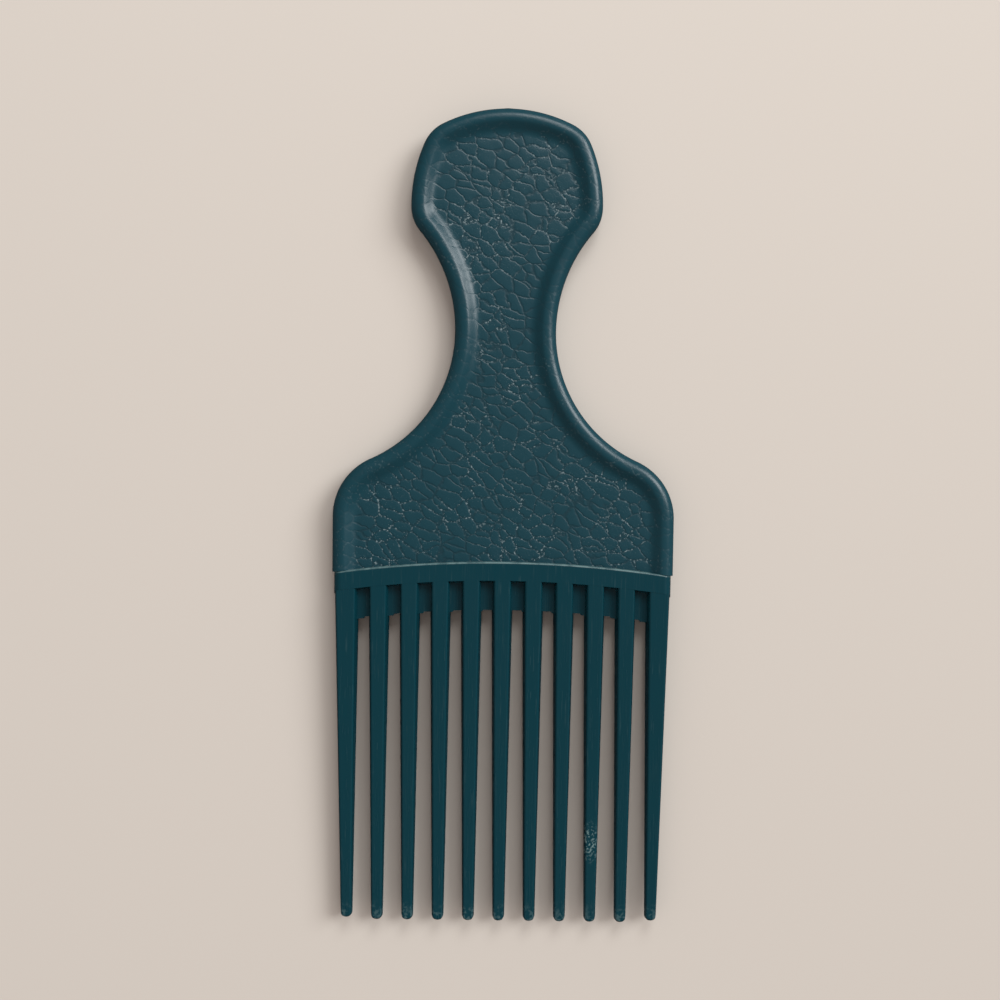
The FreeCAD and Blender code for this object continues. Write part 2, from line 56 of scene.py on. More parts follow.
NOISE_MIDDLE = 0.5
SEAM_REACH = 1e-7
WELD = 1e-6
# turns the upright drawing (across, through, up) down on its back, about the middle of its length
LAID = Matrix(((1, 0, 0, 0), (0, 0, 1, -LENGTH / 2 * MM), (0, -1, 0, HALF_THICKNESS * MM), (0, 0, 0, 1)))

log = logging.getLogger("afro_pick")

Value = Union["Sock", float, Sequence[float]]


class Slot(Enum):
    """The record's material slots."""

    GRAINED = "grained_plastic"
    SMOOTH = "smooth_plastic"


class Sock:
    """A node's output. Arithmetic on it adds Math nodes to its tree."""

    def __init__(self, tree: "Tree", socket: bpy.types.NodeSocket) -> None:
        """Wraps one output socket of a tree."""
        self.tree = tree
        self.socket = socket

    def _math(self, operation: str, *values: Value) -> "Sock":
        """A Math node on values, in order."""
        return self.tree.node("ShaderNodeMath", {"operation": operation}, dict(enumerate(values)))

    def __add__(self, other: Value) -> "Sock":
        """The sum."""
        return self._math("ADD", self, other)

    __radd__ = __add__

    def __sub__(self, other: Value) -> "Sock":
        """The difference."""
        return self._math("SUBTRACT", self, other)

    def __rsub__(self, other: Value) -> "Sock":
        """The difference, the other way round."""
        return self._math("SUBTRACT", other, self)

    def __mul__(self, other: Value) -> "Sock":
        """The product."""
        return self._math("MULTIPLY", self, other)

    __rmul__ = __mul__

    def __truediv__(self, other: Value) -> "Sock":
        """The quotient."""
        return self._math("DIVIDE", self, other)

    def __pow__(self, other: Value) -> "Sock":
        """The power."""
        return self._math("POWER", self, other)

    def size(self) -> "Sock":
        """The absolute value."""
        return self._math("ABSOLUTE", self)

    def least(self, other: Value) -> "Sock":
        """The smaller of two values."""
        return self._math("MINIMUM", self, other)

    def most(self, other: Value) -> "Sock":
        """The larger of two values."""
        return self._math("MAXIMUM", self, other)

    def ramp(self, start: float, end: float, low: float = 0.0, high: float = 1.0) -> "Sock":
        """A smooth step from low at start to high at end.

        Args:
            start: Where the step begins.
            end: Where it ends; it may lie below start.
            low: The value before the step.
            high: The value after it.

        Returns:
            The stepped value.
        """
        sockets = {"Value": self, "From Min": start, "From Max": end, "To Min": low, "To Max": high}
        if end < start:
            sockets.update({"From Min": end, "From Max": start, "To Min": high, "To Max": low})
        return self.tree.node("ShaderNodeMapRange", {"interpolation_type": "SMOOTHSTEP"}, sockets)


class Tree:
    """A shader or geometry node tree, filled by one method."""

    def __init__(self, tree: bpy.types.NodeTree) -> None:
        """Wraps an existing tree."""
        self.tree = tree

    @staticmethod
    def find(sockets: Iterable[bpy.types.NodeSocket], key: Union[int, str]) -> bpy.types.NodeSocket:
        """A socket by its number, its identifier or its name.

        Args:
            sockets: A node's inputs or outputs.
            key: The number, identifier or name.

        Returns:
            The socket.
        """
        sockets = list(sockets)
        if isinstance(key, int):
            return sockets[key]
        for socket in sockets:
            if socket.identifier == key:
                return socket
        return next(socket for socket in sockets if socket.name == key and socket.enabled)

    def node(
        self,
        kind: str,
        settings: Optional[dict[str, Any]] = None,
        inputs: Optional[dict[Union[int, str], Any]] = None,
        output: Union[int, str] = 0,
    ) -> Sock:
        """Adds a node.

        Args:
            kind: The node's type.
            settings: Properties that are set first.
            inputs: Values or links, by socket.
            output: Which output is returned.

        Returns:
            That output.
        """
        node = self.tree.nodes.new(kind)
        for name, value in (settings or {}).items():
            setattr(node, name, value)
        for key, value in (inputs or {}).items():
            self.feed(self.find(node.inputs, key), value)
        return Sock(self, self.find(node.outputs, output)) if len(node.outputs) else Sock(self, None)

    def feed(self, socket: bpy.types.NodeSocket, value: Any) -> None:
        """Links a socket, or sets its constant.

        Args:
            socket: An input.
            value: A wrapped output, or a constant.
        """
        if isinstance(value, Sock):
            self.tree.links.new(value.socket, socket)
        else:
            socket.default_value = value

    def parts(self, vector: Sock) -> tuple[Sock, Sock, Sock]:
        """The three components of a vector.

        Args:
            vector: The vector.

        Returns:
            Its X, Y and Z.
        """
        first = self.node("ShaderNodeSeparateXYZ", inputs={0: vector})
        outputs = first.socket.node.outputs
        return first, Sock(self, outputs[1]), Sock(self, outputs[2])

    def vector(self, x: Value, y: Value, z: Value) -> Sock:
        """A vector from three components."""
        return self.node("ShaderNodeCombineXYZ", inputs={0: x, 1: y, 2: z})

    def scaled(self, vector: Sock, factor: Value) -> Sock:
        """A vector times a number."""
        settings = {"operation": "SCALE"}
        return self.node("ShaderNodeVectorMath", settings, {"Vector": vector, "Scale": factor})

    def summed(self, vector: Sock, other: Value) -> Sock:
        """The sum of two vectors."""
        return self.node("ShaderNodeVectorMath", {"operation": "ADD"}, {0: vector, 1: other})

    def drawing(self, position: Sock) -> Sock:
        """A position on the lying pick, turned back to the upright drawing in millimetres."""
        x, y, z = self.parts(self.scaled(position, PER_MM))
        return self.vector(x, HALF_THICKNESS - z, y + LENGTH / 2)

    def noise(self, vector: Sock, scale: float, detail: float = 2.0, colour: bool = False) -> Sock:
        """Smooth noise at a number of waves per unit."""
        inputs = {"Vector": vector, "Scale": scale, "Detail": detail}
        return self.node("ShaderNodeTexNoise", {}, inputs, output=1 if colour else 0)

    def blend(self, factor: Value, first: Value, second: Value) -> Sock:
        """A mix of two colours."""
        inputs = {"Factor_Float": factor, "A_Color": first, "B_Color": second}
        return self.node("ShaderNodeMix", {"data_type": "RGBA"}, inputs, output="Result_Color")


def rgba(red: float, green: float, blue: float) -> tuple[float, float, float, float]:
    """An opaque colour."""
    return (red, green, blue, 1.0)


@dataclass(frozen=True)
class LeatherGrain:
    """The grain of the mould: pebbles drawn out along slanting creases. Sizes are in millimetres."""

    pebble_length: float = 3.6
    pebble_width: float = 2.2
    pebble_depth: float = 2.6
    fine_pebble: float = 1.15
    crease_degrees: float = -28.0
    wander: float = 0.55
    wander_scale: float = 0.14
    ripple: float = 0.22
    ripple_scale: float = 0.55
    seed_offset: tuple[float, float, float] = (3.7, 11.3, 5.1)
    randomness: float = 0.95

    def frame(self, tree: Tree, place: Sock) -> Sock:
        """Turns a place in millimetres into the creases' own axes, with a wandering line.

        Args:
            tree: The tree that is filled.
            place: Position in millimetres.

        Returns:
            The position along, across and through the creases.
        """
        start = tree.summed(place, self.seed_offset)
        middle = (-NOISE_MIDDLE,) * 3
        drift = tree.summed(tree.noise(start, self.wander_scale, colour=True), middle)
        ripple = tree.summed(tree.noise(start, self.ripple_scale, colour=True), middle)
        x, y, z = tree.parts(place)
        turn = math.radians(self.crease_degrees)
        along = x * math.cos(turn) + z * math.sin(turn)
        across = z * math.cos(turn) - x * math.sin(turn)
        straight = tree.vector(
            along / self.pebble_length, across / self.pebble_width, y / self.pebble_depth
        )
        bent = tree.summed(straight, tree.scaled(drift, 2 * self.wander))
        return tree.summed(bent, tree.scaled(ripple, 2 * self.ripple))

    def edges(self, tree: Tree, cells: Sock, scale: float = 1.0) -> Sock:
        """Distance to the nearest crease, in pebbles.

        Args:
            tree: The tree that is filled.
            cells: Place in the creases' own axes.
            scale: Pebbles to a unit of that place.

        Returns:
            The distance.
        """
        settings = {"feature": "DISTANCE_TO_EDGE", "voronoi_dimensions": "3D"}
        inputs = {"Vector": cells, "Scale": scale, "Randomness": self.randomness}
        return tree.node("ShaderNodeTexVoronoi", settings, inputs, output="Distance")


@dataclass(frozen=True)
class PlasticFinish:
    """What the two finishes share: the plastic's colour and how it is dressed."""

    name: str
    colour: tuple[float, float, float, float]
    pale: tuple[float, float, float, float]
    roughness: float
    specular: float = 0.38
    ior: float = 1.5

    def start(self) -> tuple[bpy.types.Material, Tree, bpy.types.Node]:
        """A new material.

        Returns:
            The material, its tree and its shader node.
        """
        material = bpy.data.materials.new(self.name)
        material.use_nodes = True
        shader = material.node_tree.nodes["Principled BSDF"]
        shader.inputs["Specular IOR Level"].default_value = self.specular
        shader.inputs["IOR"].default_value = self.ior
        return material, Tree(material.node_tree), shader

    def place(self, tree: Tree) -> Sock:
        """Place on the upright drawing in millimetres."""
        return tree.drawing(tree.node("ShaderNodeTexCoord", output="Object"))


@dataclass(frozen=True)
class GrainedPlastic(PlasticFinish):
    """The handle's finish: leather grain with painted shade in its creases and painted glints beside them,
    worn shinier on the rim.
    """

    grain: LeatherGrain = field(default_factory=LeatherGrain)
    groove_height: float = 0.045
    # painted shade: the dark colour that the creases are blended towards
    painted_crease_shade: tuple[float, float, float, float] = rgba(0.0015, 0.016, 0.023)
    painted_crease_shade_weight: float = 0.35
    crease_width: float = 0.12
    fine_width: float = 0.09
    fine_weight: float = 0.25
    fine_patch: tuple[float, float] = (0.4, 0.62)
    stipple_scale: float = 3.4
    stipple_weight: float = 0.30
    patch_scale: float = 0.11
    # painted highlights: the patches, glints and dots below lighten the colour towards pale
    glint_patch: tuple[float, float] = (0.36, 0.62)
    glint_edge: tuple[float, float] = (0.06, 0.015)
    glint_scale: float = 2.2
    glint_range: tuple[float, float] = (0.53, 0.64)
    glint_weight: float = 0.42
    dot_scale: float = 4.6
    dot_range: tuple[float, float] = (0.69, 0.79)
    dot_weight: float = 0.40
    stipple_roughness: float = 0.16
    crease_roughness: float = 0.06
    rim_shine: float = 0.06

    def build(self) -> bpy.types.Material:
        """Makes the material.

        Returns:
            The grained plastic.
        """
        material, tree, shader = self.start()
        place = self.place(tree)
        mask = tree.node("ShaderNodeAttribute", {"attribute_name": "grain"}, output="Fac")
        cells = self.grain.frame(tree, place)
        edge = self.grain.edges(tree, cells)
        fine_edge = self.grain.edges(tree, tree.scaled(place, 1 / self.grain.fine_pebble))
        crease = edge.ramp(self.crease_width, 0.0)
        fine = fine_edge.ramp(self.fine_width, 0.0)
        stipple = tree.noise(place, self.stipple_scale, detail=3.0)
        patch = tree.noise(place, self.patch_scale)
        fine_lines = fine * self.fine_weight * patch.ramp(*self.fine_patch)
        height = (stipple * self.stipple_weight - crease - fine_lines) * mask
        bump = tree.node(
            "ShaderNodeBump",
            {},
            {"Strength": 1.0, "Distance": self.groove_height * MM, "Height": height},
        )
        # painted highlights: glints beside the creases and scattered dots, lifted towards pale only within
        # the noise patches held in worn
        beside = edge.ramp(*self.glint_edge)
        worn = patch.ramp(*self.glint_patch)
        glint = tree.noise(place, self.glint_scale).ramp(*self.glint_range) * beside * worn
        dot = tree.noise(place, self.dot_scale, detail=1.0).ramp(*self.dot_range) * worn
        lift = (glint * self.glint_weight).most(dot * self.dot_weight) * mask
        # painted shade: the colour is darkened in the creases
        body = tree.blend(crease * mask * self.painted_crease_shade_weight, self.colour, self.painted_crease_shade)
        tree.feed(shader.inputs["Base Color"], tree.blend(lift, body, self.pale))
        shine = self.roughness + (stipple - NOISE_MIDDLE) * self.stipple_roughness
        shine = shine + crease * self.crease_roughness - (1 - mask) * self.rim_shine
        tree.feed(shader.inputs["Roughness"], shine)
        tree.feed(shader.inputs["Normal"], bump)
        return material


@dataclass(frozen=True)
class SmoothPlastic(PlasticFinish):
    """The comb's finish: glossy, with faint rubs along the teeth, pale wear at the tips and a painted
    highlight along the band line.
    """

    tip_wear_height: float = 5.0
    tip_wear_full: float = 0.5
    tip_scale: float = 1.4
    tip_range: tuple[float, float] = (0.45, 0.65)
    tip_weight: float = 0.25
    scuff_place: tuple[float, float, float] = (18.6, -1.6, 17.0)
    scuff_reach: float = 3.0
    scuff_core: float = 0.4
    scuff_length_share: float = 0.35
    scuff_scale: float = 1.9
    scuff_range: tuple[float, float] = (0.5, 0.62)
    scuff_weight: float = 0.8
    # painted highlight: a pale line along the band's top edge, its strength varied by noise
    line_range: tuple[float, float] = (0.42, 0.12)
    line_scale: float = 0.5
    highlight_line_strength: tuple[float, float, float, float] = (0.35, 0.6, 0.25, 0.6)
    rub_stretch: tuple[float, float, float] = (3.0, 3.0, 0.18)
    rub_range: tuple[float, float] = (0.6, 0.8)
    rub_weight: float = 0.06
    cloud_scale: float = 0.09
    ripple_scale: float = 0.9
    cloud_roughness: float = 0.12
    rub_roughness: float = 0.14
    wear_roughness: float = 0.25
    bump_strength: float = 0.6
    bump_height: float = 0.03
    rub_height: float = 0.3
    scuff_height: float = 0.8

    def build(self) -> bpy.types.Material:
        """Makes the material.

        Returns:
            The smooth plastic.
        """
        material, tree, shader = self.start()
        place = self.place(tree)
        x, y, z = tree.parts(place)
        cloud = tree.noise(place, self.cloud_scale)
        stretched = [axis * factor for axis, factor in zip((x, y, z), self.rub_stretch)]
        rub = tree.noise(tree.vector(*stretched), 1.0, detail=3.0)
        ripple = tree.noise(place, self.ripple_scale)
        chips = tree.noise(place, self.tip_scale, detail=3.0).ramp(*self.tip_range)
        tip = z.ramp(self.tip_wear_height, self.tip_wear_full) * chips
        home = tree.summed(place, tuple(-value for value in self.scuff_place))
        home_x, home_y, home_z = tree.parts(home)
        away = (home_x * home_x + home_y * home_y + home_z * home_z * self.scuff_length_share) ** 0.5
        scratches = tree.noise(place, self.scuff_scale, detail=4.0).ramp(*self.scuff_range)
        scuff = away.ramp(self.scuff_reach, self.scuff_core) * scratches
        # painted highlight: lightens the colour in a thin line along the band's top edge
        arch = (BAND_ARC_RADIUS**2 - x * x) ** 0.5
        line = (z - arch - (BAND_LINE - BAND_ARC_RADIUS)).size().ramp(*self.line_range)
        painted_band_highlight = line * tree.noise(place, self.line_scale, detail=3.0).ramp(*self.highlight_line_strength)
        rubs = rub.ramp(*self.rub_range) * self.rub_weight
        # real wear at the tips, the scuff and the rubs, together with the painted band highlight
        wear_and_highlight = (tip * self.tip_weight).most(scuff * self.scuff_weight).most(rubs).most(painted_band_highlight)
        tree.feed(shader.inputs["Base Color"], tree.blend(wear_and_highlight, self.colour, self.pale))
        shine = self.roughness + (cloud - NOISE_MIDDLE) * self.cloud_roughness
        shine = shine + (rub - NOISE_MIDDLE) * self.rub_roughness + wear_and_highlight * self.wear_roughness
        tree.feed(shader.inputs["Roughness"], shine)
        relief = ripple + rub * self.rub_height + scuff * self.scuff_height
        bump = tree.node(
            "ShaderNodeBump",
            {},
            {"Strength": self.bump_strength, "Distance": self.bump_height * MM, "Height": relief},
        )
        tree.feed(shader.inputs["Normal"], bump)
        return material


@dataclass(frozen=True)
class Arc:
    """One arc of the handle's outline, from start to end; a hollow arc bends the other way."""

    centre: np.ndarray
    start: np.ndarray
    end: np.ndarray
    hollow: bool

    def stations(self, step: float) -> tuple[np.ndarray, np.ndarray]:
        """Points along the arc and their normals into the handle, without the last point.

        Args:
            step: Largest distance from one point to the next, in millimetres.

        Returns:
            The points and the normals.
        """
        first, last = self.start - self.centre, self.end - self.centre
        radius = float(np.hypot(*first))
        begin = math.atan2(first[1], first[0])
        sweep = math.atan2(first[0] * last[1] - first[1] * last[0], float(first @ last))
        count = max(2, math.ceil(abs(sweep) * radius / step))
        angles = begin + sweep * np.arange(count) / count
        rays = np.stack([np.cos(angles), np.sin(angles)], axis=1)
        return self.centre + radius * rays, rays if self.hollow else -rays


@dataclass
class HandleOutline:
    """The handle's outline in tangent arcs. Sizes are in millimetres, heights from the tips."""

    overall_length: float = LENGTH
    band_line: float = BAND_LINE
    body_width: float = 69.1
    head_width: float = 38.4
    neck_width: float = 20.3
    waist: float = 121.0
    crown_radius: float = 29.2
    corner_radius: float = 7.6
    side_radius: float = 31.0
    jaw_radius: float = 7.6
    upper_neck_radius: float = 30.9
    lower_neck_radius: float = 28.5
    shoulder_radius: float = 12.7
    band_arc_radius: float = BAND_ARC_RADIUS
    step: float = 0.42

    def foot(self, x: np.ndarray) -> np.ndarray:
        """Height of the band line at x."""
        return self.band_line - self.band_arc_radius + np.sqrt(self.band_arc_radius**2 - x**2)

    def arcs(self) -> list[Arc]:
        """The right side's arcs, from the middle of the crown down to the straight edge.

        Returns:
            The arcs in order.
        """
        crown = np.array([0.0, self.overall_length - self.crown_radius])
        upper = np.array([self.neck_width / 2 + self.upper_neck_radius, self.waist])
        lower = np.array([self.neck_width / 2 + self.lower_neck_radius, self.waist])
        jaw_x = self.head_width / 2 - self.jaw_radius
        jaw_reach = self.upper_neck_radius + self.jaw_radius
        jaw = np.array([jaw_x, self.waist + math.sqrt(jaw_reach**2 - (upper[0] - jaw_x) ** 2)])
        side = np.array([self.head_width / 2 - self.side_radius, jaw[1]])
        shoulder_x = self.body_width / 2 - self.shoulder_radius
        reach = self.lower_neck_radius + self.shoulder_radius
        drop = math.sqrt(reach**2 - (lower[0] - shoulder_x) ** 2)
        shoulder = np.array([shoulder_x, self.waist - drop])
        from_crown = self.crown_radius - self.corner_radius
        from_side = self.side_radius - self.corner_radius
        span = side - crown
        length = float(np.hypot(*span))
        along = (from_crown**2 - from_side**2 + length**2) / (2 * length)
        across = np.array([span[1], -span[0]]) / length * math.sqrt(from_crown**2 - along**2)
        corner = crown + span / length * along + across

        def towards(start: np.ndarray, target: np.ndarray, distance: float) -> np.ndarray:
            """The point at a distance from start in the direction of target."""
            return start + (target - start) / np.hypot(*(target - start)) * distance

        top = np.array([0.0, self.overall_length])
        meets = [
            top,
            towards(crown, corner, self.crown_radius),
            towards(side, corner, self.side_radius),
            np.array([self.head_width / 2, jaw[1]]),
            towards(jaw, upper, self.jaw_radius),
            np.array([self.neck_width / 2, self.waist]),
            towards(shoulder, lower, self.shoulder_radius),
            np.array([self.body_width / 2, shoulder[1]]),
        ]
        centres = (crown, corner, side, jaw, upper, lower, shoulder)
        hollows = (False, False, False, False, True, True, False)
        return [Arc(*item) for item in zip(centres, meets, meets[1:], hollows)]

    def stations(self) -> tuple[np.ndarray, np.ndarray, int]:
        """Points down the right side and their inward normals.

        Returns:
            The points, the normals, and the number of the first point of the straight edge.
        """
        arcs = self.arcs()
        runs = [arc.stations(self.step) for arc in arcs]
        points = np.concatenate([run[0] for run in runs])
        normals = np.concatenate([run[1] for run in runs])
        last = arcs[-1].end
        count = math.ceil((last[1] - float(self.foot(last[0]))) / self.step)
        shares = np.linspace(0, 1, count + 1)
        edge = np.stack([np.full(count + 1, last[0]), last[1] - shares], axis=1)
        inward = np.tile([-1.0, 0.0], (count + 1, 1))
        return np.concatenate([points, edge]), np.concatenate([normals, inward]), len(points)

    def ring(self, inset: float) -> np.ndarray:
        """The outline moved inwards, from the left foot over the crown to the right foot.

        Args:
            inset: How far it moves, in millimetres.

        Returns:
            Its points as X and Z.
        """
        points, normals, first = self.stations()
        moved = points + normals * inset
        shares = points[first, 1] - points[first:, 1]
        foot = float(self.foot(moved[-1, 0]))
        moved[first:, 1] = points[first, 1] + shares * (foot - points[first, 1])
        left = moved[:0:-1] * [-1.0, 1.0]
        return np.concatenate([left, moved])


def inside(points: np.ndarray, outline: np.ndarray) -> np.ndarray:
    """Which points lie inside a closed outline.

    Args:
        points: X and Z of the points.
        outline: The outline's corners in order.

    Returns:
        A truth value for each point.
    """
    result = np.zeros(len(points), bool)
    for (x0, z0), (x1, z1) in zip(outline, np.roll(outline, -1, axis=0)):
        if z0 == z1:
            continue
        crosses = (z0 > points[:, 1]) != (z1 > points[:, 1])
        result ^= crosses & (points[:, 0] < (x1 - x0) * (points[:, 1] - z0) / (z1 - z0) + x0)
    return result


def mesh_object(
    name: str, vertices: np.ndarray, faces: list, material: bpy.types.Material
) -> bpy.types.Object:
    """A smooth mesh piece at the origin.

    Args:
        name: The piece's name.
        vertices: Places in metres.
        faces: Corners of each face.
        material: Its finish.

    Returns:
        The new object.
    """
    mesh = bpy.data.meshes.new(name)
    mesh.from_pydata(vertices.tolist(), [], faces)
    mesh.polygons.foreach_set("use_smooth", [True] * len(mesh.polygons))
    mesh.materials.append(material)
    mesh.update()
    piece = bpy.data.objects.new(name, mesh)
    bpy.context.scene.collection.objects.link(piece)
    return piece


def settle(piece: bpy.types.Object) -> None:
    """Turns what a piece's modifiers make into its plain mesh, and removes the modifiers.

    Args:
        piece: The piece.
    """
    graph = bpy.context.evaluated_depsgraph_get()
    made = bpy.data.meshes.new_from_object(piece.evaluated_get(graph), depsgraph=graph)
    piece.modifiers.clear()
    piece.data = made


class GrainEmboss:
    """A geometry tree that raises pebbles along a mesh's normals where its grain attribute allows."""

    INPUTS = (("Relief", 0.000035), ("Roll", 0.00007))
    PILLOW_WIDTH = 0.3
    PILLOW_LEVEL = 0.7
    ROLL_SCALE = 0.3

    def __init__(self, grain: LeatherGrain) -> None:
        """Builds the tree.

        Args:
            grain: The pebbles' sizes.
        """
        self.group = bpy.data.node_groups.new("grain_emboss", "GeometryNodeTree")
        face = self.group.interface
        face.new_socket("Geometry", in_out="INPUT", socket_type="NodeSocketGeometry")
        self.sockets = {}
        for name, value in self.INPUTS:
            item = face.new_socket(name, in_out="INPUT", socket_type="NodeSocketFloat")
            item.default_value = value
            self.sockets[name] = item.identifier
        item = face.new_socket("Finish", in_out="INPUT", socket_type="NodeSocketMaterial")
        self.sockets["Finish"] = item.identifier
        face.new_socket("Geometry", in_out="OUTPUT", socket_type="NodeSocketGeometry")
        tree = Tree(self.group)
        source = self.group.nodes.new("NodeGroupInput")
        given = {socket.name: Sock(tree, socket) for socket in source.outputs if socket.name}
        place = tree.drawing(tree.node("GeometryNodeInputPosition"))
        mask = tree.node(
            "GeometryNodeInputNamedAttribute", {"data_type": "FLOAT"}, {"Name": "grain"}
        )
        pillow = grain.edges(tree, grain.frame(tree, place)).ramp(0.0, self.PILLOW_WIDTH)
        swell = tree.noise(place, self.ROLL_SCALE, detail=1.0) - NOISE_MIDDLE
        height = ((pillow - self.PILLOW_LEVEL) * given["Relief"] + swell * given["Roll"]) * mask
        offset = tree.scaled(tree.node("GeometryNodeInputNormal"), height)
        moved = tree.node(
            "GeometryNodeSetPosition", {}, {"Geometry": given["Geometry"], "Offset": offset}
        )
        real = tree.node("GeometryNodeRealizeInstances", {}, {"Geometry": moved})
        dressed = tree.node(
            "GeometryNodeSetMaterial", {}, {"Geometry": real, "Material": given["Finish"]}
        )
        tree.node("NodeGroupOutput", {}, {"Geometry": dressed})

    def apply(self, piece: bpy.types.Object, finish: bpy.types.Material) -> None:
        """Embosses a piece and leaves a plain mesh.

        Args:
            piece: A piece with a grain attribute.
            finish: Its material.
        """
        modifier = piece.modifiers.new("grain", "NODES")
        modifier.node_group = self.group
        modifier[self.sockets["Finish"]] = finish
        for name, value in self.INPUTS:
            modifier[self.sockets[name]] = value
        settle(piece)


@dataclass
class Handle:
    """The handle's skin: a rolled rim round a dished panel, alike on both faces. Millimetres."""

    outline: HandleOutline = field(default_factory=HandleOutline)
    half_thickness: float = HALF_THICKNESS
    roll_radius: float = 2.0
    crest_inset: float = 2.6
    slope_width: float = 2.7
    dish_depth: float = 1.3
    cove_radius: float = 2.4
    crest_round: float = 0.45
    flash: float = 0.05
    flash_knee_share: float = 0.4
    flash_knee_height: float = 0.07
    flash_height: float = 0.16
    wall_share: float = 0.6
    roll_steps: int = 10
    crest_steps: int = 5
    slope_steps: int = 4
    cove_steps: int = 6
    cell: float = 0.42
    cell_gap_share: float = 0.6
    merge_reach: float = 1e-6
    grain_start: float = 4.3
    grain_fade: float = 0.9
    rim_grain_share: float = 0.25
    rim_fade: float = 0.6
    worn_crown_half: float = 12.5
    worn_crown_height: float = 159.5
    worn_crown_fade: float = 3.0
    worn_crown_rise: float = 2.0
    worn_crown_share: float = 0.75
    gate_half_width: float = 0.9
    gate_height: float = 0.28
    gate_reach: float = 1.0

    def profile(self) -> np.ndarray:
        """Section of the rim and the dish's side.

        Returns:
            Rows of inset and height over the middle plane.
        """
        flat = self.half_thickness - self.roll_radius
        rows = [
            (-self.flash, 0.0),
            (-self.flash * self.flash_knee_share, self.flash_knee_height),
            (0.0, self.flash_height),
            (0.0, flat * self.wall_share),
        ]
        for turn in np.linspace(0, math.pi / 2, self.roll_steps):
            rows.append(
                (
                    self.roll_radius * (1 - math.cos(turn)),
                    flat + self.roll_radius * math.sin(turn),
                )
            )
        crest = np.array([self.crest_inset, self.half_thickness])
        floor = np.array([self.crest_inset + self.slope_width, self.half_thickness - self.dish_depth])
        centre = floor + [0.0, self.cove_radius]
        reach = crest - centre
        swing = math.atan2(reach[1], reach[0]) + math.acos(self.cove_radius / np.hypot(*reach))
        touch = centre + self.cove_radius * np.array([math.cos(swing), math.sin(swing)])
        down = (touch - crest) / np.hypot(*(touch - crest))
        first = crest - [self.crest_round, 0.0]
        last = crest + down * self.crest_round
        for share in np.linspace(0, 1, self.crest_steps):
            bend = (1 - share) ** 2 * first + 2 * share * (1 - share) * crest + share**2 * last
            rows.append(tuple(bend))
        for share in np.linspace(0, 1, self.slope_steps)[1:]:
            rows.append(tuple(last + (touch - last) * share))
        end = 1.5 * math.pi
        start = swing % TURN
        for angle in np.linspace(start, end, self.cove_steps)[1:]:
            rows.append(
                (
                    centre[0] + self.cove_radius * math.cos(angle),
                    centre[1] + self.cove_radius * math.sin(angle),
                )
            )
        return np.array(rows)

    def floor_cells(self, edge: np.ndarray) -> tuple[np.ndarray, list]:
        """Triangles over the dish's floor.

        Args:
            edge: The floor's outline from the left foot over the crown to the right foot.

        Returns:
            The places that were added after the edge's own, and the triangles.
        """
        count = math.ceil((edge[-1, 0] - edge[0, 0]) / self.cell)
        across = np.linspace(edge[-1, 0], edge[0, 0], count + 1)[1:-1]
        foot = np.stack([across, self.outline.foot(across)], axis=1)
        border = np.concatenate([edge, foot])
        rows = np.arange(border[:, 1].min(), border[:, 1].max(), self.cell * math.sqrt(0.75))
        columns = np.arange(border[:, 0].min(), border[:, 0].max(), self.cell)
        grid = np.array(
            [(x + self.cell / 2 * (number % 2), z) for number, z in enumerate(rows) for x in columns]
        )
        gap = self.cell * self.cell_gap_share
        inner = self.outline.ring(self.crest_inset + self.slope_width + gap)
        kept = grid[inside(grid, inner)]
        kept = kept[kept[:, 1] > self.outline.foot(kept[:, 0]) + gap]
        places = np.concatenate([border, kept])
        loop = [(number, (number + 1) % len(border)) for number in range(len(border))]
        made = delaunay_2d_cdt([Vector(place) for place in places], loop, [], 1, self.merge_reach)
        if len(made[0]) != len(places):
            raise RuntimeError("the floor's triangles don't use the points they were given")
        added = np.concatenate([foot, kept])
        return added, [tuple(face) for face in made[2]]

    def grain_mask(self, x: np.ndarray, z: np.ndarray, inset: np.ndarray) -> np.ndarray:
        """How deep the grain is: full on the floor, less on the rim, worn at the crown.

        Args:
            x: Places across the pick.
            z: Heights over the tips.
            inset: Distances from the outline.

        Returns:
            A share of the full depth for each place.
        """
        floor = np.clip((inset - self.grain_start) / self.grain_fade, 0, 1)
        rim = np.clip(inset / self.rim_fade, 0, 1)
        mask = self.rim_grain_share * rim + (1 - self.rim_grain_share) * floor
        fade = self.worn_crown_fade
        worn = np.clip((self.worn_crown_half + fade - np.abs(x)) / (2 * fade), 0, 1)
        worn *= np.clip((z - self.worn_crown_height) / self.worn_crown_rise, 0, 1)
        return mask * (1 - self.worn_crown_share * worn)

